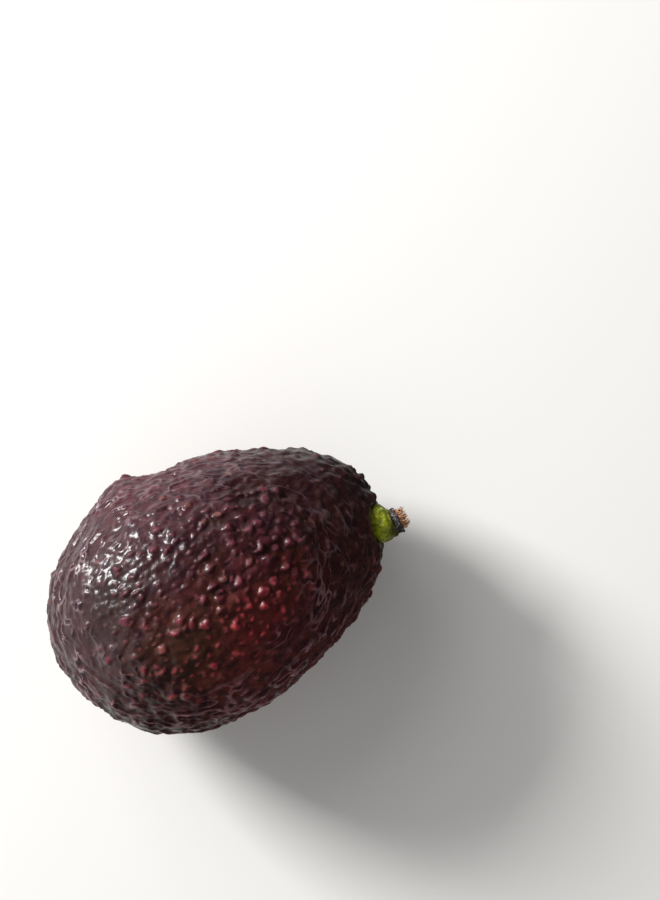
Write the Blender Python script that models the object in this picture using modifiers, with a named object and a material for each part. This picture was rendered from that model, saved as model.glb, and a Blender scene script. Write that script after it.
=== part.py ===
"""A ripe, rough-skinned avocado lying on its side, with its short stem stub still on.

Metres, +Z up. The origin is the centre of the small flat spot that the fruit rests on, and +X
points along the fruit to its stem end. The fruit is first shaped about its own long axis, then
tipped until its weight stands over the lowest point, and pressed flat there.
"""

from math import atan2, cos, exp, radians, sin, tan

import bmesh
import bpy
from mathutils import Matrix, Vector

# Fruit, before it is tipped. The outline's half width is a sine series in the angle from the
# blossom end: the first term is the girth, the second makes the stem end narrower, and the
# third makes both ends blunter.
FRUIT_LENGTH = 0.0924
FRUIT_WIDTH = 0.0682
FRUIT_HEIGHT = 0.0680
STEM_END_TAPER = 0.00285
END_BLUNTNESS = 0.00046
REST_TIP = radians(8)

# Where it rests: how deep the lowest skin is pressed in, and how softly the spot's edge turns up.
FLAT_SPOT_DEPTH = 0.0012
FLAT_SPOT_EDGE = 0.0004

# Uneven growth. Each swelling or hollow has a compass angle about the fruit's middle (0 at the
# stem end, 90 on the +Y flank), an angle above the horizontal, a height, and the angle that it
# spreads over, all in degrees but the height.
SWELLINGS = (
    ("shoulder of the blossom end", 108, 2, 0.0018, 7),
    ("shoulder, upper part", 112, 18, 0.0011, 9),
    ("shoulder, lower part", 106, -15, 0.0013, 9),
    ("facet behind the shoulder", 138, 6, -0.0018, 13),
    ("hollow before the shoulder", 89, 2, -0.0012, 8),
    ("hollow, upper part", 88, 18, -0.0007, 9),
    ("hollow, lower part", 88, -15, -0.0008, 9),
    ("hollow of the left flank", 50, 6, -0.0008, 16),
    ("left stem shoulder", 16, 0, 0.0011, 13),
    ("right stem shoulder", 328, -6, 0.0010, 13),
    ("hollow of the right flank", 288, 0, -0.0007, 20),
    ("right cheek", 216, -6, -0.0003, 18),
    ("blossom end", 175, 0, 0.0006, 12),
    ("rise of the back", 75, 62, 0.0007, 24),
    ("dip of the back", 200, 70, -0.0006, 20),
    ("dip beside the spot", 300, -55, -0.0006, 22),
    ("rise beside the spot", 120, -50, 0.0007, 24),
)

# Stem stub. Its seat is a shallow dimple off the long axis, and the stub leans away from it. The
# stub is a green swelling that narrows to a dried collar and ends where it was broken off aslant.
STEM_SEAT_BEARING = radians(-9)
STEM_SEAT_RISE = radians(9.5)
STEM_BEARING = radians(-22)
STEM_RISE = radians(8.5)
DIMPLE_DEPTH = 0.0016
DIMPLE_SPREAD = radians(8)
STEM_SUNK = 0.0016
FOOT_RADIUS = 0.0043
SWELL_RADIUS = 0.0049
SWELL_HEIGHT = 0.0034
NECK_RADIUS = 0.0035
NECK_HEIGHT = 0.0074
COLLAR_RADIUS = 0.0036
COLLAR_HEIGHT = 0.0086
END_RADIUS = 0.0031
STEM_LENGTH = 0.0107
BREAK_SLANT = radians(18)
STEM_CLEARANCE = 0.0003

ICOSPHERE_LEVEL = 5
TURNED_STEPS = 32
SHARP_ANGLE = radians(50)

SKIN_COLOUR = (0.036, 0.019, 0.025, 1)
STEM_COLOUR = (0.150, 0.190, 0.022, 1)


def clear_scene():
    for obj in list(bpy.data.objects):
        bpy.data.objects.remove(obj, do_unlink=True)


def new_collection(name):
    collection = bpy.data.collections.new(name)
    bpy.context.scene.collection.children.link(collection)
    return collection


def new_material(name, colour, roughness):
    material = bpy.data.materials.new(name)
    material.use_nodes = True
    shader = material.node_tree.nodes["Principled BSDF"]
    shader.inputs["Base Color"].default_value = colour
    shader.inputs["Roughness"].default_value = roughness
    shader.inputs["Metallic"].default_value = 0
    return material


def direction(bearing, rise):
    """Unit vector at a compass angle about +Z and an angle above the horizontal, in radians."""
    return Vector((cos(rise) * cos(bearing), cos(rise) * sin(bearing), sin(rise)))


def bump(way, centre, height, spread):
    """Height, in direction way, of a round swelling that has fallen to 0.6 of its height at spread."""
    return height * exp(-0.5 * (way.angle(centre) / spread) ** 2)


def fruit_point(unit):
    """The point of the fruit's skin for a point of the unit sphere, about the fruit's own axis."""
    from_blossom = Vector((-1, 0, 0)).angle(unit)
    round_axis = atan2(unit.z, unit.y)
    half_width = FRUIT_WIDTH / 2 * sin(from_blossom)
    half_width += STEM_END_TAPER * sin(2 * from_blossom)
    half_width += END_BLUNTNESS * sin(3 * from_blossom)
    point = Vector(
        (
            -FRUIT_LENGTH / 2 * cos(from_blossom),
            half_width * cos(round_axis),
            half_width * sin(round_axis) * FRUIT_HEIGHT / FRUIT_WIDTH,
        )
    )
    way = point.normalized()
    growth = bump(way, direction(STEM_SEAT_BEARING, STEM_SEAT_RISE), -DIMPLE_DEPTH, DIMPLE_SPREAD)
    for _, bearing, rise, height, spread in SWELLINGS:
        growth += bump(way, direction(radians(bearing), radians(rise)), height, radians(spread))
    return point + way * growth


def seat_point():
    """Where the stem's axis meets the skin, about the fruit's own axis."""
    way = direction(STEM_SEAT_BEARING, STEM_SEAT_RISE)
    unit = way.copy()
    for _ in range(20):
        unit = (unit + way - fruit_point(unit).normalized()).normalized()
    return fruit_point(unit)


def pressed(height):
    """Height above the resting surface after the lowest skin is pressed flat, with a soft edge."""
    if height >= FLAT_SPOT_EDGE:
        return height
    if height <= -FLAT_SPOT_EDGE:
        return 0.0
    return (height + FLAT_SPOT_EDGE) ** 2 / (4 * FLAT_SPOT_EDGE)


def make_fruit(collection, material):
    """The fruit as picked, and the matrix that carries its own axis into the row's frame."""
    shape = bmesh.new()
    bmesh.ops.create_icosphere(shape, subdivisions=ICOSPHERE_LEVEL, radius=1)
    tip = Matrix.Rotation(REST_TIP, 4, "Y")
    for vertex in shape.verts:
        vertex.co = tip @ fruit_point(vertex.co.normalized())
    lowest = min(vertex.co.z for vertex in shape.verts)
    spot_height = lowest + FLAT_SPOT_DEPTH
    spot = [v.co.copy() for v in shape.verts if v.co.z - spot_height <= -FLAT_SPOT_EDGE]
    middle = sum(spot, Vector()) / len(spot)
    to_row = Matrix.Translation((-middle.x, -middle.y, -spot_height)) @ tip
    for vertex in shape.verts:
        x, y, z = vertex.co
        vertex.co = (x - middle.x, y - middle.y, pressed(z - spot_height))
    mesh = bpy.data.meshes.new("fruit")
    shape.to_mesh(mesh)
    shape.free()
    mesh.materials.append(material)
    mesh.shade_smooth()
    mesh.set_sharp_from_angle(angle=SHARP_ANGLE)
    fruit = bpy.data.objects.new("fruit", mesh)
    collection.objects.link(fruit)
    return fruit, to_row


def turned(name, profile, collection):
    """A solid turned about its own Z from (radius, height) points that run from the top down."""
    shape = bmesh.new()
    points = [shape.verts.new((radius, 0, height)) for radius, height in profile]
    for upper, lower in zip(points, points[1:]):
        shape.edges.new((upper, lower))
    mesh = bpy.data.meshes.new(name)
    shape.to_mesh(mesh)
    shape.free()
    solid = bpy.data.objects.new(name, mesh)
    collection.objects.link(solid)
    screw = solid.modifiers.new("turn", "SCREW")
    screw.axis = "Z"
    screw.steps = screw.render_steps = TURNED_STEPS
    screw.use_merge_vertices = True
    screw.merge_threshold = 0.00001
    screw.use_smooth_shade = True
    return solid


def stem_profile(grown=0.0):
    """The stub's outline from its broken end down to its foot. Grown is added all round."""
    return (
        (0, STEM_LENGTH + grown),
        (END_RADIUS + grown, STEM_LENGTH + grown),
        (COLLAR_RADIUS + grown, COLLAR_HEIGHT),
        (NECK_RADIUS + grown, NECK_HEIGHT),
        (SWELL_RADIUS + grown, SWELL_HEIGHT),
        (FOOT_RADIUS + grown, STEM_SUNK),
        (FOOT_RADIUS + grown, -grown),
        (0, -grown),
    )


def as_cutter(cutter, target, name):
    """Take the cutter's solid away from the target, and keep it out of the build."""
    cutter.hide_render = True
    cutter.display_type = "WIRE"
    cut = target.modifiers.new(name, "BOOLEAN")
    cut.operation = "DIFFERENCE"
    cut.object = cutter


def make_stem(parts, cutters, material, seat):
    """The stub, with its end broken off on a slant that leaves its full length on one side."""
    stem = turned("stem", stem_profile(), parts)
    stem.data.materials.append(material)
    stem.matrix_world = seat
    side = 6 * END_RADIUS
    shape = bmesh.new()
    bmesh.ops.create_cube(shape, size=side)
    mesh = bpy.data.meshes.new("break_cutter")
    shape.to_mesh(mesh)
    shape.free()
    breaker = bpy.data.objects.new("break_cutter", mesh)
    cutters.objects.link(breaker)
    break_height = STEM_LENGTH - END_RADIUS * tan(BREAK_SLANT)
    break_plane = Matrix.Translation((0, 0, break_height)) @ Matrix.Rotation(BREAK_SLANT, 4, "Y")
    breaker.matrix_world = seat @ break_plane @ Matrix.Translation((0, 0, side / 2))
    as_cutter(breaker, stem, "broken_end")


def cut_seat(fruit, cutters, seat):
    """The socket in the fruit: the stub's own outline, larger by the clearance."""
    socket = turned("seat_cutter", stem_profile(STEM_CLEARANCE), cutters)
    socket.matrix_world = seat
    as_cutter(socket, fruit, "stem_seat")


def main():
    clear_scene()
    parts = new_collection("avocado")
    cutters = new_collection("cutters")
    skin = new_material("skin", SKIN_COLOUR, 0.35)
    bark = new_material("stem", STEM_COLOUR, 0.55)
    fruit, to_row = make_fruit(parts, skin)
    along = direction(STEM_BEARING, STEM_RISE)
    foot = seat_point() - along * STEM_SUNK
    seat = to_row @ Matrix.Translation(foot) @ along.to_track_quat("Z", "Y").to_matrix().to_4x4()
    make_stem(parts, cutters, bark, seat)
    cut_seat(fruit, cutters, seat)


main()
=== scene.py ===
from math import cos, pi, radians, sin, tau

import bmesh
import bpy
from mathutils import Matrix, Vector, noise


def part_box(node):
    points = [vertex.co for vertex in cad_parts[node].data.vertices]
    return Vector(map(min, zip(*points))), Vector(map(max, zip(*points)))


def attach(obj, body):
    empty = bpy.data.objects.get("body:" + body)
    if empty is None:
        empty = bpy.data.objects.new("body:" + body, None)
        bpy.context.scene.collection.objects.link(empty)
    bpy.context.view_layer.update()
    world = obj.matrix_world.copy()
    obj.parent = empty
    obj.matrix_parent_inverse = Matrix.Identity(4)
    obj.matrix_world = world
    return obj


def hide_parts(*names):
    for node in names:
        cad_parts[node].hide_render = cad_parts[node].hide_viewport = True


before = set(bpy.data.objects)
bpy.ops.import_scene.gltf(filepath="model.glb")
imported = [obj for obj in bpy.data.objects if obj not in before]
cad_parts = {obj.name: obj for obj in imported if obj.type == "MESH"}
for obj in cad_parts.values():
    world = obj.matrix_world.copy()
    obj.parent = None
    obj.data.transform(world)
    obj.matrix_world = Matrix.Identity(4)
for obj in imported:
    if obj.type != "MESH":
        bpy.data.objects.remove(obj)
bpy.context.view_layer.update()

scene = bpy.context.scene
MM = 0.001


# Where the stub stands. A ripe fruit's stem breaks off at its seat, so the seat's place and the way
# that the stub leans are wanted by the skin as well as by the stub. The stub's foot is the largest
# flat face of its solid, and it stands in a shallow well of the skin.
FOOT_DEPTH = 1.6 * MM
FOOT_WIDTH = 8.8 * MM


def largest_face(mesh):
    """The middle of a mesh's largest flat face, and the way that it looks."""
    faces = {}
    for polygon in mesh.polygons:
        way = tuple(round(c, 2) for c in polygon.normal)
        faces.setdefault(way, []).append((polygon.area, polygon.center.copy(), polygon.normal.copy()))
    largest = max(faces.values(), key=lambda parts: sum(part[0] for part in parts))
    area = sum(part[0] for part in largest)
    middle = sum((part[0] * part[1] for part in largest), Vector()) / area
    return middle, sum((part[0] * part[2] for part in largest), Vector()).normalized()


foot, into_fruit = largest_face(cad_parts["stem"].data)
stem_way = -into_fruit
stub_turn = stem_way.to_track_quat("Z", "Y").to_matrix().to_4x4()
stub_frame = Matrix.Translation(foot) @ stub_turn


# Skin. The fruit's whole outside: a thin, tough, waxy peel over firm flesh, grown in one piece. It
# carries corky pebbles from 1 to 3 mm across, crowded towards the stem, and a net of low ridges round
# the blossom end and the flanks. It ripens from green through wine red to purple black.
GIRTH_HEIGHT = 34 * MM
CENTRE_RISE = 7 * MM
SKIN_SIZES = {
    "Cells": 128,
    "Facets Settle": 45,
    "Seat Settles": 260,
    "Pebble Gap": 3.0 * MM,
    "Pebble Height": 1.15 * MM,
    "Small Pebble Gap": 1.9 * MM,
    "Small Pebble Height": 0.5 * MM,
    "Cauliflower Height": 0.75 * MM,
    "Ridge Height": 0.9 * MM,
    "Fold Height": 0.6 * MM,
    "Wave Height": 2.0 * MM,
    "Lump Height": 1.1 * MM,
    "Grain Height": 0.28 * MM,
    "Lip Height": 1.3 * MM,
    "Foot Width": FOOT_WIDTH,
    "Foot Depth": FOOT_DEPTH,
    "Well Slope": 0.9 * MM,
}


def linear(colour):
    """An sRGB hex colour, such as "8A2B31", as linear red, green, blue and alpha."""
    parts = [int(colour[i : i + 2], 16) / 255 for i in (0, 2, 4)]
    return (*(c / 12.92 if c <= 0.04045 else ((c + 0.055) / 1.055) ** 2.4 for c in parts), 1)


def add(tree, kind, links=None, **settings):
    """A new node with its settings, and a value or another node's output on each named input."""
    node = tree.nodes.new(kind)
    for name, value in settings.items():
        setattr(node, name, value)
    for name, value in (links or {}).items():
        open_inputs = [socket for socket in node.inputs if socket.enabled]
        if isinstance(name, int):
            socket = open_inputs[name]
        else:
            socket = next(s for s in open_inputs if s.name == name)
        if isinstance(value, bpy.types.Node):
            value = next(s for s in value.outputs if s.enabled)
        if isinstance(value, bpy.types.NodeSocket):
            tree.links.new(value, socket)
        else:
            socket.default_value = value
    return node


def grown(name, tree, inputs):
    """The plain mesh object that a geometry tree makes, with the tree's inputs set by name."""
    mesh = bpy.data.meshes.new(name + "_start")
    maker = bpy.data.objects.new(name + "_maker", mesh)
    scene.collection.objects.link(maker)
    modifier = maker.modifiers.new("grow", "NODES")
    modifier.node_group = tree
    for socket in tree.interface.items_tree:
        if socket.in_out == "INPUT" and socket.name in inputs:
            modifier[socket.identifier] = inputs[socket.name]
    made = maker.evaluated_get(bpy.context.evaluated_depsgraph_get())
    result = bpy.data.meshes.new_from_object(made)
    result.name = name
    maker.modifiers.remove(modifier)
    bpy.data.objects.remove(maker)
    bpy.data.meshes.remove(mesh)
    piece = bpy.data.objects.new(name, result)
    scene.collection.objects.link(piece)
    return piece


def wandered(tree, at, scale, by):
    """The point at, pushed about by soft noise, so that a pattern on it never runs straight."""
    push = add(tree, "ShaderNodeTexNoise", {"Vector": at, "Scale": 1 / scale, "Detail": 1.0})
    push = add(
        tree,
        "ShaderNodeVectorMath",
        {0: push.outputs["Color"], 1: (0.5, 0.5, 0.5)},
        operation="SUBTRACT",
    )
    push = add(tree, "ShaderNodeVectorMath", {0: push, "Scale": by}, operation="SCALE")
    return add(tree, "ShaderNodeVectorMath", {0: at, 1: push}, operation="ADD")


def down_side(tree, at):
    """How far down the skin a point lies, 0 on the crown and 53 mm at the girth, and its level part."""
    from_girth = add(tree, "ShaderNodeVectorMath", {0: at, 1: (0, 0, GIRTH_HEIGHT)}, operation="SUBTRACT")
    height = add(tree, "ShaderNodeSeparateXYZ", {0: from_girth}).outputs["Z"]
    flat = add(tree, "ShaderNodeVectorMath", {0: at, 1: (0.75, 1, 0)}, operation="MULTIPLY")
    out = add(tree, "ShaderNodeVectorMath", {0: flat}, operation="LENGTH")
    angle = add(tree, "ShaderNodeMath", {0: out, 1: height}, operation="ARCTAN2")
    return add(tree, "ShaderNodeMath", {0: angle, 1: GIRTH_HEIGHT}, operation="MULTIPLY"), flat


def ridge_net(tree, at, width):
    """Low wavy ridges that run level round the fruit and join in a net: 0 in a hollow, 1 on a crest.

    They are the level lines of two soft noises, stretched along the level and broken here and there.
    """
    down, flat = down_side(tree, at)
    level = add(tree, "ShaderNodeVectorMath", {0: flat}, operation="NORMALIZE")
    level = add(tree, "ShaderNodeVectorMath", {0: level, "Scale": 13 * MM}, operation="SCALE")
    down = add(tree, "ShaderNodeCombineXYZ", {2: down})
    level = add(tree, "ShaderNodeVectorMath", {0: level, 1: down}, operation="ADD")
    level = wandered(tree, level, 3.2 * MM, 2.0 * MM)
    ridge = None
    for shift, strength in ((0, 1.0), (40 * MM, 0.75)):
        moved = add(tree, "ShaderNodeVectorMath", {0: level, 1: (shift, 0, 0)}, operation="ADD")
        line = add(tree, "ShaderNodeTexNoise", {"Vector": moved, "Scale": 1 / (4.4 * MM), "Detail": 1.4})
        line = add(tree, "ShaderNodeMath", {0: line.outputs["Fac"], 1: 0.5}, operation="SUBTRACT")
        line = add(tree, "ShaderNodeMath", {0: line}, operation="ABSOLUTE")
        line = add(
            tree,
            "ShaderNodeMapRange",
            {"Value": line, "From Min": 0.09 * width, "From Max": 0.0, "To Max": strength},
            interpolation_type="SMOOTHSTEP",
        )
        if ridge is None:
            ridge = line
        else:
            ridge = add(tree, "ShaderNodeMath", {0: ridge, 1: line}, operation="MAXIMUM")
    broken = add(tree, "ShaderNodeTexNoise", {"Vector": at, "Scale": 1 / (5 * MM), "Detail": 1.0})
    broken = add(
        tree,
        "ShaderNodeMapRange",
        {"Value": broken.outputs["Fac"], "From Min": 0.38, "From Max": 0.58, "To Min": 0.12},
        interpolation_type="SMOOTHSTEP",
    )
    return add(tree, "ShaderNodeMath", {0: ridge, 1: broken}, operation="MULTIPLY")


def pebbles(tree, skin, at, gap, crowd, smallest, seed):
    """A crop of pebbles on the skin, none nearer than gap: each one's height, its dome and its luck."""
    tries = 1.4
    density = add(tree, "ShaderNodeMath", {0: gap, 1: -2.0}, operation="POWER")
    density = add(tree, "ShaderNodeMath", {0: density, 1: tries}, operation="MULTIPLY")
    seeds = add(
        tree,
        "GeometryNodeDistributePointsOnFaces",
        {"Mesh": skin, "Distance Min": gap, "Density Max": density, "Density Factor": crowd, "Seed": seed},
        distribute_method="POISSON",
    ).outputs["Points"]
    nearest = add(tree, "GeometryNodeSampleNearest", {"Geometry": seeds, "Sample Position": at})
    middle = add(
        tree,
        "GeometryNodeSampleIndex",
        {"Geometry": seeds, "Value": add(tree, "GeometryNodeInputPosition"), "Index": nearest},
        data_type="FLOAT_VECTOR",
    )
    luck = add(
        tree,
        "GeometryNodeSampleIndex",
        {
            "Geometry": seeds,
            "Value": add(tree, "FunctionNodeRandomValue", {"Seed": seed}, data_type="FLOAT_VECTOR"),
            "Index": nearest,
        },
        data_type="FLOAT_VECTOR",
    )
    luck = add(tree, "ShaderNodeSeparateXYZ", {0: luck})
    # Each pebble is drawn out along the fruit, more or less, so what lies that way counts for less.
    off = add(tree, "ShaderNodeVectorMath", {0: at, 1: middle}, operation="SUBTRACT")
    lean = add(tree, "ShaderNodeMapRange", {"Value": luck.outputs[2], "To Min": -0.9, "To Max": 0.9})
    lean = add(tree, "ShaderNodeCombineXYZ", {0: 1.0, 1: lean, 2: 0.0})
    lean = add(tree, "ShaderNodeVectorMath", {0: lean}, operation="NORMALIZE")
    lengthways = add(tree, "ShaderNodeVectorMath", {0: off, 1: lean}, operation="DOT_PRODUCT")
    lengthways = add(tree, "ShaderNodeMath", {0: lengthways, 1: 2.0}, operation="POWER")
    drawn = add(tree, "ShaderNodeMapRange", {"Value": luck.outputs[1], "To Min": 0.1, "To Max": 0.72})
    spared = add(tree, "ShaderNodeMath", {0: lengthways, 1: drawn}, operation="MULTIPLY")
    square = add(tree, "ShaderNodeVectorMath", {0: off, 1: off}, operation="DOT_PRODUCT")
    square = add(tree, "ShaderNodeMath", {0: square, 1: spared}, operation="SUBTRACT")
    distance = add(tree, "ShaderNodeMath", {0: square, 1: 0.5}, operation="POWER")
    share = add(tree, "ShaderNodeMapRange", {"Value": luck.outputs[0], "To Min": smallest, "To Max": 0.56})
    radius = add(tree, "ShaderNodeMath", {0: gap, 1: share}, operation="MULTIPLY")
    share = add(tree, "ShaderNodeMath", {0: distance, 1: radius}, operation="DIVIDE")
    dome = add(
        tree,
        "ShaderNodeMapRange",
        {"Value": share, "From Min": 1.0, "From Max": 0.2},
        interpolation_type="SMOOTHSTEP",
    )
    tall = add(tree, "ShaderNodeMath", {0: luck.outputs[0], 1: luck.outputs[1]}, operation="ADD")
    tall = add(tree, "ShaderNodeMapRange", {"Value": tall, "From Max": 2.0, "To Min": 0.25})
    rise = add(tree, "ShaderNodeMath", {0: dome, 1: tall}, operation="MULTIPLY")
    return rise, dome, luck


def peel_tree():
    """Geometry nodes for the peel: a fine closed grid, fitted to the fruit's solid, then grown over."""
    tree = bpy.data.node_groups.new("pebbled peel", "GeometryNodeTree")
    tree.interface.new_socket("Geometry", in_out="OUTPUT", socket_type="NodeSocketGeometry")
    tree.interface.new_socket("Geometry", in_out="INPUT", socket_type="NodeSocketGeometry")
    tree.interface.new_socket("Fruit", in_out="INPUT", socket_type="NodeSocketObject")
    tree.interface.new_socket("Centre", in_out="INPUT", socket_type="NodeSocketVector")
    tree.interface.new_socket("Seat", in_out="INPUT", socket_type="NodeSocketVector")
    tree.interface.new_socket("Stem Way", in_out="INPUT", socket_type="NodeSocketVector")
    tree.interface.new_socket("Material", in_out="INPUT", socket_type="NodeSocketMaterial")
    tree.interface.new_socket("Seed", in_out="INPUT", socket_type="NodeSocketInt")
    for name, size in SKIN_SIZES.items():
        kind = "NodeSocketInt" if isinstance(size, int) else "NodeSocketFloat"
        tree.interface.new_socket(name, in_out="INPUT", socket_type=kind)
    given = add(tree, "NodeGroupInput").outputs

    # The grid: a cube's faces, spread by equal angles over a ball.
    points = add(tree, "ShaderNodeMath", {0: given["Cells"], 1: 1}, operation="ADD")
    grid = add(
        tree,
        "GeometryNodeMeshCube",
        {"Size": (2, 2, 2), "Vertices X": points, "Vertices Y": points, "Vertices Z": points},
    )
    place = add(tree, "GeometryNodeInputPosition")
    angle = add(tree, "ShaderNodeVectorMath", {0: place, "Scale": pi / 4}, operation="SCALE")
    spread = add(tree, "ShaderNodeVectorMath", {0: angle}, operation="TANGENT")
    outward = add(tree, "ShaderNodeVectorMath", {0: spread}, operation="NORMALIZE")

    # Measures of a place on the skin: off and along the stub's axis, along and across the fruit, and
    # down its side with an uneven edge. A reach starts and ends at two values of one, in mm, and has a
    # strength at both.
    from_seat = add(tree, "ShaderNodeVectorMath", {0: place, 1: given["Seat"]}, operation="SUBTRACT")
    round_stem = add(
        tree,
        "ShaderNodeVectorMath",
        {0: from_seat, 1: given["Stem Way"]},
        operation="CROSS_PRODUCT",
    )
    off_axis = add(tree, "ShaderNodeVectorMath", {0: round_stem}, operation="LENGTH")
    along = add(
        tree,
        "ShaderNodeVectorMath",
        {0: from_seat, 1: given["Stem Way"]},
        operation="DOT_PRODUCT",
    )
    where = add(tree, "ShaderNodeSeparateXYZ", {0: place})
    down = add(tree, "ShaderNodeTexNoise", {"Vector": place, "Scale": 1 / (12 * MM), "Detail": 1.0})
    down = add(
        tree,
        "ShaderNodeMapRange",
        {"Value": down.outputs["Fac"], "To Min": -12 * MM, "To Max": 12 * MM},
    )
    down = add(tree, "ShaderNodeMath", {0: down, 1: down_side(tree, place)[0]})
    reach = {}
    for name, measure, start, end, first, last in (
        ("stemward", where.outputs["X"], -16, 30, 0.0, 1.0),
        ("blossomward", where.outputs["X"], -12, -34, 0.0, 1.0),
        ("short of stem", where.outputs["X"], 40, 22, 0.35, 1.0),
        ("short of end", where.outputs["X"], 44, 28, 0.7, 1.0),
        ("left flank", where.outputs["Y"], -5, 15, 0.0, 1.0),
        ("shoulder", down, 15, 30, 0.0, 1.0),
        ("low down", down, 21, 35, 0.0, 1.0),
        ("past girth", down, 42, 58, 1.0, 0.5),
        ("clear of stub", off_axis, 5, 9, 0.0, 1.0),
        ("far from stub", along, -12, -20, 0.0, 1.0),
        ("near stub", along, -12, -8, 0.0, 1.0),
        ("mouth", off_axis, 6.2, 5.4, 0.0, 1.0),
        ("lip", off_axis, 10, 5.6, 0.0, given["Lip Height"]),
        ("wrinkled", off_axis, 17, 6, 0.0, 1.0),
    ):
        reach[name] = add(
            tree,
            "ShaderNodeMapRange",
            {
                "Value": measure,
                "From Min": start * MM,
                "From Max": end * MM,
                "To Min": first,
                "To Max": last,
            },
            interpolation_type="SMOOTHSTEP",
        )

    # Fit each point to the fruit's solid, and let the facets and the mouth of the seat settle.
    solid = add(tree, "GeometryNodeObjectInfo", {"Object": given["Fruit"]})
    hit = add(
        tree,
        "GeometryNodeRaycast",
        {
            "Target Geometry": solid.outputs["Geometry"],
            "Source Position": given["Centre"],
            "Ray Direction": outward,
            "Ray Length": 1.0,
        },
    )
    fitted = add(
        tree,
        "GeometryNodeSetPosition",
        {"Geometry": grid.outputs["Mesh"], "Position": hit.outputs["Hit Position"]},
    )
    mouth = add(
        tree,
        "ShaderNodeMath",
        {0: reach["mouth"], 1: reach["near stub"]},
        operation="MULTIPLY",
    )
    healed = add(
        tree,
        "GeometryNodeBlurAttribute",
        {"Value": place, "Iterations": given["Seat Settles"], "Weight": mouth},
        data_type="FLOAT_VECTOR",
    )
    fitted = add(tree, "GeometryNodeSetPosition", {"Geometry": fitted, "Position": healed})
    smooth = add(
        tree,
        "GeometryNodeBlurAttribute",
        {"Value": place, "Iterations": given["Facets Settle"]},
        data_type="FLOAT_VECTOR",
    )
    fitted = add(tree, "GeometryNodeSetPosition", {"Geometry": fitted, "Position": smooth})
    kept = add(
        tree,
        "GeometryNodeStoreNamedAttribute",
        {"Geometry": fitted, "Name": "skin_at", "Value": place},
        data_type="FLOAT_VECTOR",
        domain="POINT",
    )

    # Where things grow. Pebbles crowd towards the stem, ridges round the blossom end and the flanks.
    stemward = reach["stemward"]
    low_down = add(
        tree,
        "ShaderNodeMath",
        {0: reach["low down"], 1: reach["past girth"]},
        operation="MULTIPLY",
    )
    kept_low = add(tree, "ShaderNodeMath", {0: stemward, 1: reach["left flank"]}, operation="MULTIPLY")
    kept_low = add(tree, "ShaderNodeMapRange", {"Value": kept_low, "To Min": 1.0, "To Max": 0.5})
    kept_low = add(tree, "ShaderNodeMath", {0: kept_low, 1: reach["short of stem"]}, operation="MULTIPLY")
    netted = add(tree, "ShaderNodeMath", {0: low_down, 1: kept_low}, operation="MULTIPLY")
    blossom_net = reach["blossomward"]
    for share in (reach["shoulder"], reach["past girth"]):
        blossom_net = add(tree, "ShaderNodeMath", {0: blossom_net, 1: share}, operation="MULTIPLY")
    netted = add(tree, "ShaderNodeMath", {0: blossom_net, 1: netted}, operation="MAXIMUM")
    half_netted = add(tree, "ShaderNodeMath", {0: reach["blossomward"], 1: 0.55}, operation="MULTIPLY")
    smoothed = add(tree, "ShaderNodeMath", {0: low_down, 1: reach["short of end"]}, operation="MULTIPLY")
    smoothed = add(tree, "ShaderNodeMath", {0: smoothed, 1: half_netted}, operation="MAXIMUM")
    open_skin = add(
        tree,
        "ShaderNodeMath",
        {0: reach["clear of stub"], 1: reach["far from stub"]},
        operation="MAXIMUM",
    )

    # Pebbles: large ones, and small ones between them. No two are alike, as their outlines wander.
    bent = wandered(tree, place, 2.2 * MM, 2.0 * MM)
    crowd = add(tree, "ShaderNodeMapRange", {"Value": stemward, "To Min": 0.42, "To Max": 0.8})
    big, big_dome, big_luck = pebbles(tree, fitted, bent, given["Pebble Gap"], crowd, 0.34, given["Seed"])
    crowd = add(tree, "ShaderNodeMapRange", {"Value": stemward, "To Min": 0.75, "To Max": 0.7})
    other_seed = add(tree, "ShaderNodeMath", {0: given["Seed"], 1: 5}, operation="ADD")
    small, small_dome, _ = pebbles(tree, fitted, bent, given["Small Pebble Gap"], crowd, 0.3, other_seed)
    standing = add(tree, "ShaderNodeMapRange", {"Value": smoothed, "To Min": 1.0, "To Max": 0.2})
    big = add(tree, "ShaderNodeMath", {0: big, 1: standing}, operation="MULTIPLY")
    small = add(tree, "ShaderNodeMath", {0: small, 1: standing}, operation="MULTIPLY")

    # Cauliflower: near the stem the skin swells between creases, in bumps that run along the fruit.
    bumps = add(tree, "ShaderNodeVectorMath", {0: bent, 1: (0.62, 1, 1)}, operation="MULTIPLY")
    bumps = add(
        tree,
        "ShaderNodeTexVoronoi",
        {"Vector": bumps, "Scale": 1 / (3.3 * MM), "Smoothness": 0.25, "Randomness": 1.0},
        feature="SMOOTH_F1",
    )
    bumps = add(
        tree,
        "ShaderNodeMapRange",
        {"Value": bumps.outputs["Distance"], "From Min": 0.75, "From Max": 0.1},
    )
    knobbly = add(tree, "ShaderNodeMapRange", {"Value": stemward, "To Min": 0.3, "To Max": 1.0})
    bumps = add(tree, "ShaderNodeMath", {0: bumps, 1: knobbly}, operation="MULTIPLY")
    bumps = add(tree, "ShaderNodeMath", {0: bumps, 1: standing}, operation="MULTIPLY")

    ridge = ridge_net(tree, place, 0.75)
    ridge = add(tree, "ShaderNodeMath", {0: ridge, 1: netted}, operation="MULTIPLY")

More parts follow.
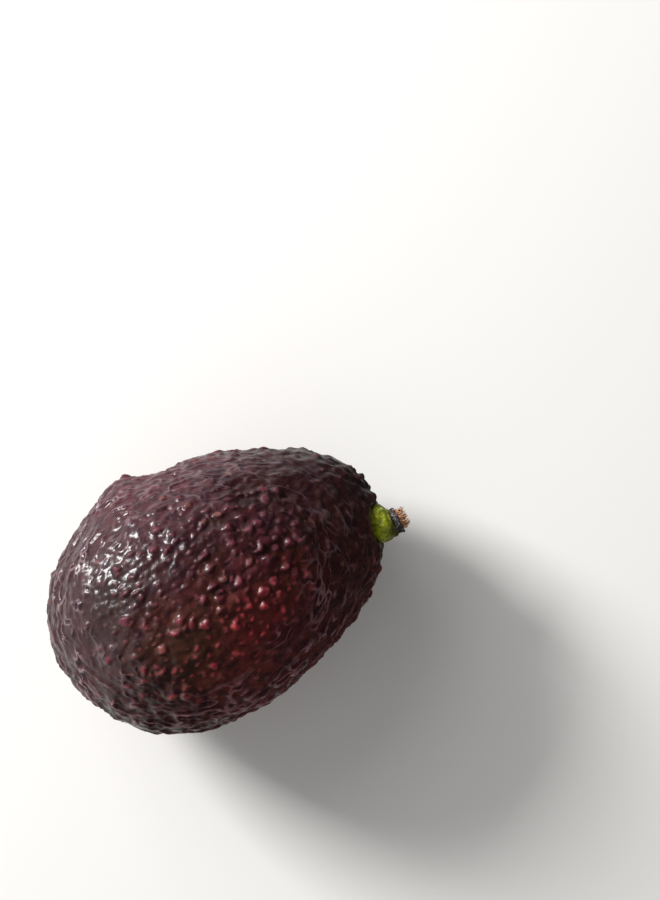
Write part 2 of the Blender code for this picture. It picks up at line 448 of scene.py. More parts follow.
    # Wrinkles: fine folds that run out from the seat of the stem.
    fan = add(tree, "ShaderNodeVectorMath", {0: round_stem}, operation="NORMALIZE")
    fold = add(tree, "ShaderNodeTexNoise", {"Vector": fan, "Scale": 5.0, "Detail": 2.0})
    fold = add(tree, "ShaderNodeMapRange", {"Value": fold, "From Min": 0.3, "From Max": 0.7})
    fold_here = add(
        tree,
        "ShaderNodeMath",
        {0: reach["wrinkled"], 1: reach["near stub"]},
        operation="MULTIPLY",
    )
    fold = add(tree, "ShaderNodeMath", {0: fold, 1: fold_here}, operation="MULTIPLY")

    # Uneven growth at three sizes: waves of 12 mm, lumps of 4 mm and a grain of 2 mm.
    growth = []
    for name, width in (("Wave", 12), ("Lump", 4), ("Grain", 2)):
        part = add(tree, "ShaderNodeTexNoise", {"Vector": place, "Scale": 1 / (width * MM), "Detail": 1.0})
        growth.append((name, add(tree, "ShaderNodeMath", {0: part, 1: 0.5}, operation="SUBTRACT")))
    growth += [("Pebble", big), ("Small Pebble", small), ("Cauliflower", bumps)]
    growth += [("Ridge", ridge), ("Fold", fold)]
    total = None
    for name, part in growth:
        part = add(tree, "ShaderNodeMath", {0: part, 1: given[name + " Height"]}, operation="MULTIPLY")
        total = part if total is None else add(tree, "ShaderNodeMath", {0: total, 1: part})
    total = add(tree, "ShaderNodeMath", {0: total, 1: open_skin}, operation="MULTIPLY")
    lip = add(tree, "ShaderNodeMath", {0: reach["lip"], 1: reach["near stub"]}, operation="MULTIPLY")
    total = add(tree, "ShaderNodeMath", {0: total, 1: lip})
    up = add(tree, "GeometryNodeInputNormal")
    raised = add(tree, "ShaderNodeVectorMath", {0: up, "Scale": total}, operation="SCALE")

    # The seat: a well that the stub's foot stands in, inside a low lip of skin.
    half_foot = add(tree, "ShaderNodeMath", {0: given["Foot Width"], 1: 0.5}, operation="MULTIPLY")
    wall = add(tree, "ShaderNodeMath", {0: half_foot, 1: given["Well Slope"]}, operation="ADD")
    well = add(
        tree,
        "ShaderNodeMapRange",
        {"Value": off_axis, "From Min": wall, "From Max": half_foot},
        interpolation_type="SMOOTHSTEP",
    )
    well = add(tree, "ShaderNodeMath", {0: well, 1: reach["near stub"]}, operation="MULTIPLY")
    well = add(tree, "ShaderNodeMath", {0: well, 1: given["Foot Depth"]}, operation="MULTIPLY")
    sunk = add(tree, "ShaderNodeVectorMath", {0: given["Stem Way"], "Scale": well}, operation="SCALE")
    moved = add(tree, "ShaderNodeVectorMath", {0: raised, 1: sunk}, operation="SUBTRACT")

    for name, value in (
        ("pebble", big_dome),
        ("pebble_luck", big_luck.outputs[0]),
        ("small_pebble", small_dome),
        ("standing", standing),
        ("netted", netted),
        ("swelling", bumps),
    ):
        kept = add(
            tree,
            "GeometryNodeStoreNamedAttribute",
            {"Geometry": kept, "Name": name, "Value": value},
            data_type="FLOAT",
            domain="POINT",
        )
    raised_skin = add(tree, "GeometryNodeSetPosition", {"Geometry": kept, "Offset": moved})

    # The fruit's own weight presses the lowest skin flat.
    pressed = add(tree, "ShaderNodeVectorMath", {0: place, 1: (-1, -1, 0)}, operation="MAXIMUM")
    whole = add(tree, "GeometryNodeSetPosition", {"Geometry": raised_skin, "Position": pressed})
    whole = add(tree, "GeometryNodeRealizeInstances", {"Geometry": whole})
    whole = add(tree, "GeometryNodeSetShadeSmooth", {"Geometry": whole})
    whole = add(tree, "GeometryNodeSetMaterial", {"Geometry": whole, "Material": given["Material"]})
    add(tree, "NodeGroupOutput", {"Geometry": whole})
    return tree


def fresh_material(name):
    """A new material and its empty node tree."""
    material = bpy.data.materials.new(name)
    material.use_nodes = True
    material.node_tree.nodes.clear()
    return material, material.node_tree


def peel_material():
    """Ripe avocado peel: waxy and half glossy, a dark purple brown ground with wine-red pebbles."""
    material, tree = fresh_material("ripe avocado peel, waxy and pebbled")
    at = add(tree, "ShaderNodeAttribute", attribute_name="skin_at").outputs["Vector"]
    pebble = add(tree, "ShaderNodeAttribute", attribute_name="pebble").outputs["Fac"]
    luck = add(tree, "ShaderNodeAttribute", attribute_name="pebble_luck").outputs["Fac"]
    small = add(tree, "ShaderNodeAttribute", attribute_name="small_pebble").outputs["Fac"]
    standing = add(tree, "ShaderNodeAttribute", attribute_name="standing").outputs["Fac"]
    netted = add(tree, "ShaderNodeAttribute", attribute_name="netted").outputs["Fac"]
    swelling = add(tree, "ShaderNodeAttribute", attribute_name="swelling").outputs["Fac"]

    # The ground: purple brown clouds about 12 mm wide. It is redder and lighter on the right flank, partly
    # its own ripening and partly painted warm bounce light, more violet and lighter on the left one, partly
    # its own tone and partly painted key light, and darker at both ends with painted shade. Over them come
    # a brown mottle at 2 mm, smoky violet spots at 3.6 mm and paler flecks at 0.9 mm, which make the
    # ground look deep rather than painted.
    cloud = add(tree, "ShaderNodeTexNoise", {"Vector": at, "Scale": 1 / (12 * MM), "Detail": 3.0})
    cloud = add(
        tree,
        "ShaderNodeMapRange",
        {"Value": cloud.outputs["Fac"], "From Min": 0.38, "From Max": 0.62},
        interpolation_type="SMOOTHSTEP",
    )
    ground = add(
        tree,
        "ShaderNodeMix",
        {"Factor": cloud, "A": linear("2B1714"), "B": linear("3A2128")},
        data_type="RGBA",
    )
    along = add(tree, "ShaderNodeSeparateXYZ", {0: at})
    # The two rows by Y paint light over the skin's own tone, and the two rows by X paint shade at the ends.
    for axis, start, end, colour, strength in (
        ("Y", 14 * MM, -20 * MM, "6C2C20", 0.85),
        ("Y", 12 * MM, 34 * MM, "642C38", 0.7),
        ("X", 5 * MM, 42 * MM, "261211", 0.65),
        ("X", -2 * MM, -26 * MM, "211412", 0.78),
    ):
        side_tone_and_painted_light = add(
            tree,
            "ShaderNodeMapRange",
            {"Value": along.outputs[axis], "From Min": start, "From Max": end, "To Max": strength},
            interpolation_type="SMOOTHSTEP",
        )
        ground = add(
            tree,
            "ShaderNodeMix",
            {"Factor": side_tone_and_painted_light, "A": ground, "B": linear(colour)},
            data_type="RGBA",
        )
    for width, detail, start, end, strength, colour, easing in (
        (2.0, 3.0, 0.4, 0.65, 0.6, "26120F", "LINEAR"),
        (3.6, 2.0, 0.46, 0.6, 0.65, "200D17", "SMOOTHSTEP"),
        (0.9, 2.0, 0.55, 0.72, 0.28, "5C3633", "LINEAR"),
    ):
        tone = add(tree, "ShaderNodeTexNoise", {"Vector": at, "Scale": 1 / (width * MM), "Detail": detail})
        tone = add(
            tree,
            "ShaderNodeMapRange",
            {"Value": tone.outputs["Fac"], "From Min": start, "From Max": end, "To Max": strength},
            interpolation_type=easing,
        )
        ground = add(
            tree,
            "ShaderNodeMix",
            {"Factor": tone, "A": ground, "B": linear(colour)},
            data_type="RGBA",
        )

    # Patches where the ripening lags or leads: olive on the crown, brown by the blossom end, and a
    # red blush, each with its middle, its half widths and its colour.
    edge = add(tree, "ShaderNodeTexNoise", {"Vector": at, "Scale": 1 / (5 * MM), "Detail": 4.0})
    edge = add(tree, "ShaderNodeMath", {0: edge.outputs["Fac"], 1: 1.6}, operation="MULTIPLY")
    blush = None
    for middle, half_widths, colour, strength in (
        ((-28 * MM, -8 * MM, 50 * MM), (10 * MM, 10 * MM, 20 * MM), "2E1C17", 0.6),
        ((-8 * MM, -10.5 * MM, 64 * MM), (14 * MM, 9 * MM, 20 * MM), "352619", 0.6),
        ((9 * MM, -15 * MM, 60 * MM), (12 * MM, 9 * MM, 22 * MM), "521A1C", 0.6),
    ):
        patch = add(tree, "ShaderNodeVectorMath", {0: at, 1: middle}, operation="SUBTRACT")
        patch = add(tree, "ShaderNodeVectorMath", {0: patch, 1: half_widths}, operation="DIVIDE")
        patch = add(tree, "ShaderNodeVectorMath", {0: patch}, operation="LENGTH")
        patch = add(tree, "ShaderNodeMath", {0: patch.outputs["Value"], 1: edge}, operation="ADD")
        blush = add(
            tree,
            "ShaderNodeMapRange",
            {"Value": patch, "From Min": 2.1, "From Max": 1.1, "To Max": strength},
            interpolation_type="SMOOTHSTEP",
        )
        ground = add(
            tree,
            "ShaderNodeMix",
            {"Factor": blush, "A": ground, "B": linear(colour)},
            data_type="RGBA",
        )

    # Pebbles ripen redder than the ground, brightest in the blush and bright on the right flank.
    redder = add(
        tree,
        "ShaderNodeMapRange",
        {"Value": along.outputs["Y"], "From Min": 5 * MM, "From Max": -22 * MM, "To Max": 0.4},
        interpolation_type="SMOOTHSTEP",
    )
    redder = add(tree, "ShaderNodeMath", {0: redder, 1: blush}, operation="MAXIMUM")
    wine = add(
        tree,
        "ShaderNodeMix",
        {"Factor": redder, "A": linear("5C2430"), "B": linear("CC2430")},
        data_type="RGBA",
    )
    ripe = add(tree, "ShaderNodeMapRange", {"Value": luck, "To Min": 0.35, "To Max": 1.0})
    pebble_red = add(tree, "ShaderNodeMath", {0: pebble, 1: ripe}, operation="MULTIPLY")
    raised = add(tree, "ShaderNodeMath", {0: small, 1: 0.6}, operation="MULTIPLY")
    raised = add(tree, "ShaderNodeMath", {0: raised, 1: pebble_red}, operation="MAXIMUM")
    swollen = add(tree, "ShaderNodeMath", {0: swelling, 1: 0.45}, operation="MULTIPLY")
    raised = add(tree, "ShaderNodeMath", {0: raised, 1: swollen}, operation="MAXIMUM")
    raised = add(tree, "ShaderNodeMath", {0: raised, 1: standing}, operation="MULTIPLY")
    raised = add(
        tree,
        "ShaderNodeMapRange",
        {"Value": raised, "From Min": 0.05, "From Max": 0.8, "To Max": 0.9},
        interpolation_type="SMOOTHSTEP",
    )
    # Luck runs from 0 to 1, and what is left of seven times it picks a fifth of the pebbles for cork.
    corky = add(tree, "ShaderNodeMath", {0: luck, 1: 7.0}, operation="MULTIPLY")
    corky = add(tree, "ShaderNodeMath", {0: corky}, operation="FRACT")
    corky = add(tree, "ShaderNodeMath", {0: corky, 1: 0.22}, operation="LESS_THAN")
    tip = add(
        tree,
        "ShaderNodeMapRange",
        {"Value": pebble, "From Min": 0.5, "From Max": 0.98, "To Max": 0.7},
        interpolation_type="SMOOTHSTEP",
    )
    tip = add(tree, "ShaderNodeMath", {0: tip, 1: corky}, operation="MULTIPLY")

    # Breathing pores: dull olive dots about 0.5 mm wide, 2 mm apart, on about half of the places.
    pores = add(tree, "ShaderNodeTexVoronoi", {"Vector": at, "Scale": 1 / (2 * MM), "Randomness": 1.0})
    pore = add(
        tree,
        "ShaderNodeMapRange",
        {"Value": pores.outputs["Distance"], "From Min": 0.2, "From Max": 0.07, "To Max": 0.4},
        interpolation_type="SMOOTHSTEP",
    )
    open_pore = add(tree, "ShaderNodeSeparateColor", {0: pores.outputs["Color"]})
    open_pore = add(tree, "ShaderNodeMath", {0: open_pore, 1: 0.5}, operation="LESS_THAN")
    pore = add(tree, "ShaderNodeMath", {0: pore, 1: open_pore}, operation="MULTIPLY")

    # Ridge crests get a painted sheen, pale grey lilac and pinker on the right flank, and the hollows
    #     # between them are darkened to purple with painted shade.
    crest = ridge_net(tree, at, 0.36)
    crest = add(tree, "ShaderNodeMath", {0: crest, 1: netted}, operation="MULTIPLY")
    painted_hollow_shade = add(tree, "ShaderNodeMath", {0: 1.0, 1: ridge_net(tree, at, 0.7)}, operation="SUBTRACT")
    painted_hollow_shade = add(tree, "ShaderNodeMath", {0: painted_hollow_shade, 1: netted}, operation="MULTIPLY")
    painted_hollow_shade = add(tree, "ShaderNodeMath", {0: painted_hollow_shade, 1: 0.4}, operation="MULTIPLY")
    painted_sheen_colour = add(
        tree,
        "ShaderNodeMix",
        {"Factor": redder, "A": linear("806A70"), "B": linear("9E5862")},
        data_type="RGBA",
    )
    painted_sheen_share = add(tree, "ShaderNodeMath", {0: crest, 1: 0.85}, operation="MULTIPLY")
    colour = ground
    # The hollow mix below is painted shade, and the crest mix is a painted sheen.
    for share, over in (
        (raised, wine),
        (tip, linear("6E4236")),
        (pore, linear("6A5438")),
        (painted_hollow_shade, linear("3C141E")),
        (painted_sheen_share, painted_sheen_colour),
    ):
        colour = add(tree, "ShaderNodeMix", {"Factor": share, "A": colour, "B": over}, data_type="RGBA")

    # The wax film: crisp gloss in the hollows and duller on the pebbles, over a fine unevenness 1.6
    # and 0.5 mm wide that breaks the highlights up.
    fine = add(tree, "ShaderNodeTexNoise", {"Vector": at, "Scale": 1 / (1.6 * MM), "Detail": 1.0})
    domed = add(tree, "ShaderNodeMath", {0: pebble, 1: small}, operation="MAXIMUM")
    gloss = add(tree, "ShaderNodeMapRange", {"Value": domed, "To Min": 0.27, "To Max": 0.62})
    finer = add(tree, "ShaderNodeTexNoise", {"Vector": at, "Scale": 1 / (0.5 * MM), "Detail": 2.0})
    finer = add(tree, "ShaderNodeMath", {0: finer.outputs["Fac"], 1: 0.25}, operation="MULTIPLY")
    relief = add(tree, "ShaderNodeMath", {0: crest, 1: 0.9}, operation="MULTIPLY")
    relief = add(tree, "ShaderNodeMath", {0: fine.outputs["Fac"], 1: relief})
    relief = add(tree, "ShaderNodeMath", {0: finer, 1: relief})
    bump = add(tree, "ShaderNodeBump", {"Height": relief, "Strength": 1.0, "Distance": 0.1 * MM})
    surface = add(
        tree,
        "ShaderNodeBsdfPrincipled",
        {
            "Base Color": colour,
            "Roughness": gloss,
            "IOR": 1.4,
            "Coat Weight": 0.08,
            "Coat Roughness": 0.1,
            "Normal": bump,
        },
    )
    add(tree, "ShaderNodeOutputMaterial", {"Surface": surface})
    return material


low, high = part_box("fruit")
skin = grown(
    "skin",
    peel_tree(),
    {
        "Fruit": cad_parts["fruit"],
        "Centre": (low + high) / 2 + Vector((0, 0, CENTRE_RISE)),
        "Seat": foot,
        "Stem Way": stem_way,
        "Material": peel_material(),
        "Seed": 3,
        **SKIN_SIZES,
    },
)
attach(skin, "root")
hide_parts("fruit")


# Green of the stub. The foot of the stalk stays alive: a lumpy lime-green swelling that the fruit hung
# from, thickest where it leaves the skin. Each outline is (height, radius) in mm, from the foot up.
STUB_STEPS = 120
STUB_ROWS = 60
GREEN_OUTLINE = (
    (0, 0), (0, 3.9), (1.4, 4.1), (2.4, 4.7), (3.5, 5.0), (4.7, 4.7), (5.8, 4.0), (6.7, 3.3), (7.0, 0)
)
COLLAR_TILT = radians(20)
BARK_GRAIN = 0.18 * MM
sideways = Vector((0, 0, 1)).cross(stem_way).normalized()


def lathed(name, outline, push, place):
    """A closed body turned about Z from (height, radius) points in mm, pushed about, then put in place."""
    shape = bmesh.new()
    rings = []
    for row in range(STUB_ROWS + 1):
        along = row / STUB_ROWS * (len(outline) - 1)
        start = min(int(along), len(outline) - 2)
        share = along - start
        four = [outline[min(max(start + i, 0), len(outline) - 1)] for i in (-1, 0, 1, 2)]
        height, radius = (
            0.5
            * (
                2 * four[1][i]
                + (four[2][i] - four[0][i]) * share
                + (2 * four[0][i] - 5 * four[1][i] + 4 * four[2][i] - four[3][i]) * share**2
                + (3 * four[1][i] - four[0][i] - 3 * four[2][i] + four[3][i]) * share**3
            )
            for i in (0, 1)
        )
        steps = 1 if row in (0, STUB_ROWS) else STUB_STEPS
        radius = 0 if steps == 1 else max(radius, 0.02)
        ring = []
        for step in range(steps):
            turn = tau * step / steps
            point = Vector((radius * cos(turn), radius * sin(turn), height))
            ring.append(shape.verts.new(push(point) * MM))
        rings.append(ring)
    for lower, upper in zip(rings, rings[1:]):
        for i in range(STUB_STEPS):
            j = (i + 1) % STUB_STEPS
            if len(lower) == 1:
                shape.faces.new((lower[0], upper[j], upper[i]))
            elif len(upper) == 1:
                shape.faces.new((lower[i], lower[j], upper[0]))
            else:
                shape.faces.new((lower[i], lower[j], upper[j], upper[i]))
    bmesh.ops.recalc_face_normals(shape, faces=shape.faces)
    shape.transform(place)
    mesh = bpy.data.meshes.new(name)
    shape.to_mesh(mesh)
    shape.free()
    mesh.shade_smooth()
    piece = bpy.data.objects.new(name, mesh)
    scene.collection.objects.link(piece)
    return piece


def green_push(point):
    """Lumps about 3 mm wide, and a slanted top that meets the tilted collar."""
    around = Vector((point.x, point.y, 0))
    lump = 0.45 * noise.noise(point / 1.7 + Vector((7, 3, 1))) + 0.2 * noise.noise(point / 0.8)
    slant = (point.z / 7.0) ** 2 * -sin(COLLAR_TILT) * around.dot(local_side)
    if around.length > 0.1:
        around = around.normalized() * lump * min(point.z / 1.4, 1)
    return point + around + Vector((0, 0, slant + 0.3 * lump * min(point.z / 5, 1)))


local_side = stub_turn.inverted() @ sideways
green = lathed("stem_green", GREEN_OUTLINE, green_push, stub_frame)

# Living green bark: waxy, mottled from olive to lime, and brown towards the dried collar. Pale yellow
# painted highlights sit on its raised grain.
bark, tree = fresh_material("living green bark, waxy and lumpy")
at = add(tree, "ShaderNodeTexCoord").outputs["Object"]
mottle = add(tree, "ShaderNodeTexNoise", {"Vector": at, "Scale": 1 / (2.2 * MM), "Detail": 3.0})
mottle = add(
    tree,
    "ShaderNodeMapRange",
    {"Value": mottle.outputs["Fac"], "From Min": 0.38, "From Max": 0.6},
    interpolation_type="SMOOTHSTEP",
)
colour = add(
    tree,
    "ShaderNodeMix",
    {"Factor": mottle, "A": linear("5E6808"), "B": linear("96A014")},
    data_type="RGBA",
)
speckle = add(tree, "ShaderNodeTexNoise", {"Vector": at, "Scale": 1 / (0.7 * MM), "Detail": 2.0})
# Painted highlight: pale yellow where the grain stands highest.
painted_grain_highlight = add(
    tree,
    "ShaderNodeMapRange",
    {"Value": speckle.outputs["Fac"], "From Min": 0.55, "From Max": 0.7, "To Max": 0.6},
    interpolation_type="SMOOTHSTEP",
)
colour = add(
    tree,
    "ShaderNodeMix",
    {"Factor": painted_grain_highlight, "A": colour, "B": linear("BDB75C")},
    data_type="RGBA",
)
height = add(tree, "ShaderNodeVectorMath", {0: at, 1: foot}, operation="SUBTRACT")
height = add(tree, "ShaderNodeVectorMath", {0: height, 1: stem_way}, operation="DOT_PRODUCT")
uneven = add(tree, "ShaderNodeMath", {0: speckle.outputs["Fac"], 1: 3 * MM}, operation="MULTIPLY")
height = add(tree, "ShaderNodeMath", {0: height, 1: uneven})
dried = add(
    tree,
    "ShaderNodeMapRange",
    {"Value": height, "From Min": 6.6 * MM, "From Max": 8.6 * MM, "To Max": 0.9},
    interpolation_type="SMOOTHSTEP",
)
colour = add(tree, "ShaderNodeMix", {"Factor": dried, "A": colour, "B": linear("3A2C16")}, data_type="RGBA")
bump = add(
    tree,
    "ShaderNodeBump",
    {"Height": speckle.outputs["Fac"], "Strength": 1.0, "Distance": BARK_GRAIN},
)
surface = add(
    tree,
    "ShaderNodeBsdfPrincipled",
    {"Base Color": colour, "Roughness": 0.42, "IOR": 1.42, "Normal": bump},
)
add(tree, "ShaderNodeOutputMaterial", {"Surface": surface})
green.data.materials.append(bark)
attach(green, "root")
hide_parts("stem")


# Dried collar. The bark where the stalk was picked off has shrivelled to a dark crinkled ring, tilted
# towards the fruit's left flank, with flakes where its skin has lifted, painted pale as highlights.
COLLAR_HEIGHT = 7.1 * MM
FLAKE_LIFT = 0.3 * MM
COLLAR_OUTLINE = (
    (-1.3, 0), (-1.3, 2.4), (-0.9, 3.1), (-0.2, 3.3), (0.5, 3.35), (1.0, 3.6), (1.25, 3.3), (0.8, 2.6),
    (0.5, 0),
)
collar_turn = Matrix.Rotation(COLLAR_TILT, 4, "Z") @ stub_turn
collar_frame = Matrix.Translation(foot + stem_way * COLLAR_HEIGHT) @ collar_turn
collar_way = (collar_turn @ Vector((0, 0, 1))).normalized()


def collar_push(point):
    """Sharp creases that run along the stalk, and a ragged rim."""
    around = Vector((point.x, point.y, 0))
    if around.length < 0.1:
        return point
    crease = 0.55 * abs(noise.noise(around.normalized() * 3.4 + Vector((0, 0, point.z / 3)))) - 0.16
    fine = 0.14 * noise.noise(point / 0.5)
    ragged = 0.5 * noise.noise(around.normalized() * 2.2 + Vector((5, 1, 2))) * max(point.z, 0)
    return point + around.normalized() * (crease + fine) * min(around.length / 3, 1) + Vector((0, 0, ragged))


collar = lathed("stem_collar", COLLAR_OUTLINE, collar_push, collar_frame)

# Dead bark: almost black, dull, with flakes 0.5 mm wide whose raised parts carry pale painted highlights.
dead_bark, tree = fresh_material("dead bark, dried and flaking")
at = add(tree, "ShaderNodeTexCoord").outputs["Object"]
tone = add(tree, "ShaderNodeTexNoise", {"Vector": at, "Scale": 1 / (1.4 * MM), "Detail": 3.0})
colour = add(
    tree,
    "ShaderNodeMix",
    {"Factor": tone.outputs["Fac"], "A": linear("171312"), "B": linear("45393A")},
    data_type="RGBA",
)
flake = add(tree, "ShaderNodeTexNoise", {"Vector": at, "Scale": 1 / (0.9 * MM), "Detail": 3.0})
# Painted highlight: pale silvery grey on the raised parts of the flakes.
painted_flake_highlight = add(
    tree,
    "ShaderNodeMapRange",
    {"Value": flake.outputs["Fac"], "From Min": 0.56, "From Max": 0.66, "To Max": 0.8},
    interpolation_type="SMOOTHSTEP",
)
colour = add(tree, "ShaderNodeMix", {"Factor": painted_flake_highlight, "A": colour, "B": linear("8F8A8A")}, data_type="RGBA")
bump = add(
    tree,
    "ShaderNodeBump",
    {"Height": flake.outputs["Fac"], "Strength": 1.0, "Distance": FLAKE_LIFT},
)
surface = add(
    tree,
    "ShaderNodeBsdfPrincipled",
    {"Base Color": colour, "Roughness": 0.5, "IOR": 1.45, "Normal": bump},
)
add(tree, "ShaderNodeOutputMaterial", {"Surface": surface})
collar.data.materials.append(dead_bark)
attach(collar, "root")
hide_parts("stem")


# Torn wood. The stalk tore across inside the collar, and left a plug of pale orange wood with a coat
# of short splinters on its slanted end.
WOOD_OUTLINE = ((0.2, 0), (0.2, 2.3), (0.6, 2.6), (1.2, 2.7), (1.7, 2.6), (2.0, 1.8), (2.1, 0))
SPLINTERS_RISE = 1.6 * MM
FIBRE_HEIGHT = 0.12 * MM
SPLINTER_SIZES = {
    "Disc Radius": 2.6 * MM,
    "Splinter Gap": 0.42 * MM,
    "Splinter Width": 0.5 * MM,
    "Shortest": 0.5 * MM,
    "Longest": 2.5 * MM,
    "Tilt": 0.5,
}


def wood_push(point):
    """An end broken unevenly, furrowed by its fibres."""
    around = Vector((point.x, point.y, 0))
    if around.length < 0.1:
        return point
    furrow = 0.25 * noise.noise(around.normalized() * 5)
    uneven = 0.5 * noise.noise(Vector((point.x, point.y, 4)) / 1.3) * max(point.z - 0.6, 0)
    return point + around.normalized() * furrow + Vector((0, 0, uneven))


def splinter_tree():
    """Geometry nodes for the splinters: pointed six-sided slivers scattered over a disc, each leaning."""
    tree = bpy.data.node_groups.new("splinters", "GeometryNodeTree")
    tree.interface.new_socket("Geometry", in_out="OUTPUT", socket_type="NodeSocketGeometry")
    tree.interface.new_socket("Geometry", in_out="INPUT", socket_type="NodeSocketGeometry")
    tree.interface.new_socket("Material", in_out="INPUT", socket_type="NodeSocketMaterial")
    tree.interface.new_socket("Seed", in_out="INPUT", socket_type="NodeSocketInt")
    for name in SPLINTER_SIZES:
        tree.interface.new_socket(name, in_out="INPUT", socket_type="NodeSocketFloat")
    given = add(tree, "NodeGroupInput").outputs
    disc = add(
        tree,
        "GeometryNodeMeshCircle",
        {"Vertices": 24, "Radius": given["Disc Radius"]},
        fill_type="NGON",
    )
    seeds = add(
        tree,
        "GeometryNodeDistributePointsOnFaces",
        {
            "Mesh": disc,
            "Distance Min": given["Splinter Gap"],
            "Density Max": 1e8,
            "Density Factor": 1.0,
            "Seed": given["Seed"],
        },
        distribute_method="POISSON",
    ).outputs["Points"]
    sliver = add(
        tree,
        "GeometryNodeMeshCone",
        {"Vertices": 6, "Side Segments": 1, "Radius Top": 0.12, "Radius Bottom": 0.5, "Depth": 1.0},
    ).outputs["Mesh"]
    length = add(
        tree,
        "FunctionNodeRandomValue",
        {"Min": given["Shortest"], "Max": given["Longest"], "Seed": given["Seed"]},
        data_type="FLOAT",
    )
    size = add(
        tree,
        "ShaderNodeCombineXYZ",
        {0: given["Splinter Width"], 1: given["Splinter Width"], 2: length},
    )
    less = add(tree, "ShaderNodeMath", {0: 0.0, 1: given["Tilt"]}, operation="SUBTRACT")
    least = add(tree, "ShaderNodeCombineXYZ", {0: less, 1: less, 2: 0.0})
    most = add(tree, "ShaderNodeCombineXYZ", {0: given["Tilt"], 1: given["Tilt"], 2: tau})
    lean = add(
        tree,
        "FunctionNodeRandomValue",
        {"Min": least, "Max": most, "Seed": given["Seed"]},
        data_type="FLOAT_VECTOR",
    )
    slivers = add(
        tree,
        "GeometryNodeInstanceOnPoints",
        {"Points": seeds, "Instance": sliver, "Rotation": lean, "Scale": size},
    )
    whole = add(tree, "GeometryNodeRealizeInstances", {"Geometry": slivers})
    whole = add(tree, "GeometryNodeSetMaterial", {"Geometry": whole, "Material": given["Material"]})
    add(tree, "NodeGroupOutput", {"Geometry": whole})
    return tree


# Torn wood: dry and dull, orange tan in fine streaks 0.3 mm wide that follow the stalk.
torn, tree = fresh_material("torn stalk wood, dry and fibrous")
at = add(tree, "ShaderNodeTexCoord").outputs["Object"]
run = add(tree, "ShaderNodeVectorMath", {0: at, 1: collar_way}, operation="DOT_PRODUCT")
run = add(
    tree,
    "ShaderNodeVectorMath",
    {0: tuple(collar_way * 0.85), "Scale": run.outputs["Value"]},
    operation="SCALE",
)
across_grain = add(tree, "ShaderNodeVectorMath", {0: at, 1: run}, operation="SUBTRACT")
streak = add(tree, "ShaderNodeTexNoise", {"Vector": across_grain, "Scale": 1 / (0.5 * MM), "Detail": 3.0})
streak = add(
    tree,
    "ShaderNodeMapRange",
    {"Value": streak.outputs["Fac"], "From Min": 0.35, "From Max": 0.65},
)
colour = add(
    tree,
    "ShaderNodeMix",
    {"Factor": streak, "A": linear("A06A46"), "B": linear("E4B692")},
    data_type="RGBA",
)
stain = add(tree, "ShaderNodeTexNoise", {"Vector": at, "Scale": 1 / (1.6 * MM), "Detail": 2.0})
stain = add(
    tree,
    "ShaderNodeMapRange",
    {"Value": stain.outputs["Fac"], "From Min": 0.5, "From Max": 0.65, "To Max": 0.75},
    interpolation_type="SMOOTHSTEP",
)
colour = add(tree, "ShaderNodeMix", {"Factor": stain, "A": colour, "B": linear("5E3520")}, data_type="RGBA")
bump = add(tree, "ShaderNodeBump", {"Height": streak, "Strength": 1.0, "Distance": FIBRE_HEIGHT})
surface = add(
    tree,
    "ShaderNodeBsdfPrincipled",
    {"Base Color": colour, "Roughness": 0.8, "IOR": 1.45, "Normal": bump},
)
add(tree, "ShaderNodeOutputMaterial", {"Surface": surface})

plug = lathed("stem_wood", WOOD_OUTLINE, wood_push, collar_frame)
plug.data.materials.append(torn)
splinters = grown("stem_splinters", splinter_tree(), {"Material": torn, "Seed": 11, **SPLINTER_SIZES})
splinters.data.transform(collar_frame @ Matrix.Translation((0, 0, SPLINTERS_RISE)))
for piece in (plug, splinters):
    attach(piece, "root")
    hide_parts("stem")


# Studio. The fruit lies on a pale floor under a softbox at the upper left, with a large weak one
# behind it that softens the shadow, and the camera looks straight down.
VIEW_ROLL = radians(-29.16)
VIEW_DISTANCE = 0.8
FRAME_LONG = 0.2364
FRAME_RIGHT = 0.0307
FRAME_UP = 0.0353
SENSOR = 36
MIDDLE_SHIFT = Vector((-1.6 * MM, -0.95 * MM, 0))
FLOOR_REACH = 3
FLOOR_DROP = 0.1 * MM
across = Vector((cos(VIEW_ROLL), sin(VIEW_ROLL), 0))
upward = Vector((-sin(VIEW_ROLL), cos(VIEW_ROLL), 0))


def studio_point(right, up, height):
    """A point in the row's frame, from distances to the view's right and top and up from the floor."""
    return fruit_middle + across * right + upward * up + Vector((0, 0, height))


low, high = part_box("fruit")
fruit_middle = Vector(((low.x + high.x) / 2, (low.y + high.y) / 2, 0)) + MIDDLE_SHIFT
camera_data = bpy.data.cameras.new("camera")
camera_data.sensor_width = SENSOR
camera_data.lens = SENSOR * VIEW_DISTANCE / FRAME_LONG
camera = bpy.data.objects.new("camera", camera_data)
camera.location = studio_point(FRAME_RIGHT, FRAME_UP, VIEW_DISTANCE + (low.z + high.z) / 2)
camera.rotation_euler = (0, 0, VIEW_ROLL)
scene.collection.objects.link(camera)
scene.camera = camera

floor_mesh = bpy.data.meshes.new("floor")
shape = bmesh.new()
bmesh.ops.create_grid(shape, x_segments=1, y_segments=1, size=FLOOR_REACH)
shape.to_mesh(floor_mesh)
shape.free()
floor = bpy.data.objects.new("floor", floor_mesh)
floor.location.z = -FLOOR_DROP
# Matt paper: it scatters light evenly and mirrors nothing, so only the soft shadow shows on it.
paper = bpy.data.materials.new("matt white paper")
paper.use_nodes = True
paper_shader = paper.node_tree.nodes["Principled BSDF"]
paper_shader.inputs["Base Color"].default_value = linear("ECEAE7")
paper_shader.inputs["Roughness"].default_value = 0.9
floor_mesh.materials.append(paper)
scene.collection.objects.link(floor)


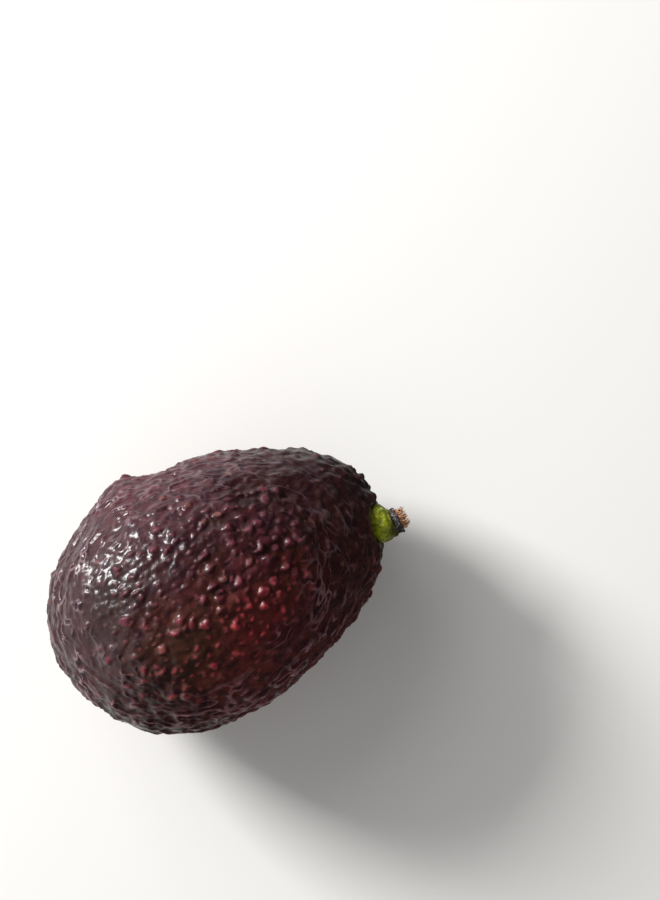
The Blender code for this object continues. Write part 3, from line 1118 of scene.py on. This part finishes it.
def softbox(name, way, distance, size, power):
    """A square lamp that looks at the fruit from that way, given as the view's right, its top and up."""
    lamp = bpy.data.lights.new(name, "AREA")
    lamp.size = size
    lamp.energy = power
    lit = bpy.data.objects.new(name, lamp)
    way = Vector(way).normalized()
    middle = fruit_middle + Vector((0, 0, (low.z + high.z) / 2))
    lit.location = middle + (across * way.x + upward * way.y + Vector((0, 0, way.z))) * distance
    lit.rotation_euler = (lit.location - middle).to_track_quat("Z", "Y").to_euler()
    lit.visible_camera = False
    scene.collection.objects.link(lit)
    return lit


softbox("key", (-0.8, 0.54, 0.54), 1.1, 0.34, 18)
softbox("wrap", (-0.6, 0.65, 0.7), 1.2, 0.9, 4.5).visible_glossy = False
floor.visible_glossy = False

# The sky is pale, and palest low on the left. What the gloss mirrors is dark on the right, as if the
# fruit lay beside something dark there.
world = bpy.data.worlds.new("studio")
world.use_nodes = True
scene.world = world
sky = world.node_tree
sky.nodes.clear()
toward = add(sky, "ShaderNodeTexCoord").outputs["Generated"]
fill_way = (across * -0.5 + upward * -0.85).normalized()
fill = add(sky, "ShaderNodeVectorMath", {0: toward, 1: fill_way}, operation="DOT_PRODUCT")
fill = add(
    sky,
    "ShaderNodeMapRange",
    {"Value": fill, "From Min": -0.3, "From Max": 0.9, "To Min": 0.18, "To Max": 0.62},
)
sheen_way = (across * -0.94 + upward * 0.18 + Vector((0, 0, -0.31))).normalized()
sheen = add(sky, "ShaderNodeVectorMath", {0: toward, 1: sheen_way}, operation="DOT_PRODUCT")
sheen = add(
    sky,
    "ShaderNodeMapRange",
    {"Value": sheen, "From Min": -0.25, "From Max": 0.6, "To Min": 0.025, "To Max": 0.86},
    interpolation_type="SMOOTHSTEP",
)
ray = add(sky, "ShaderNodeLightPath")
glow = add(
    sky,
    "ShaderNodeMix",
    {"Factor": ray.outputs["Is Glossy Ray"], "A": fill, "B": sheen},
    data_type="FLOAT",
)
backdrop = add(sky, "ShaderNodeBackground", {"Color": (1, 1, 1, 1), "Strength": glow})
add(sky, "ShaderNodeOutputWorld", {"Surface": backdrop})
scene.view_settings.view_transform = "Standard"
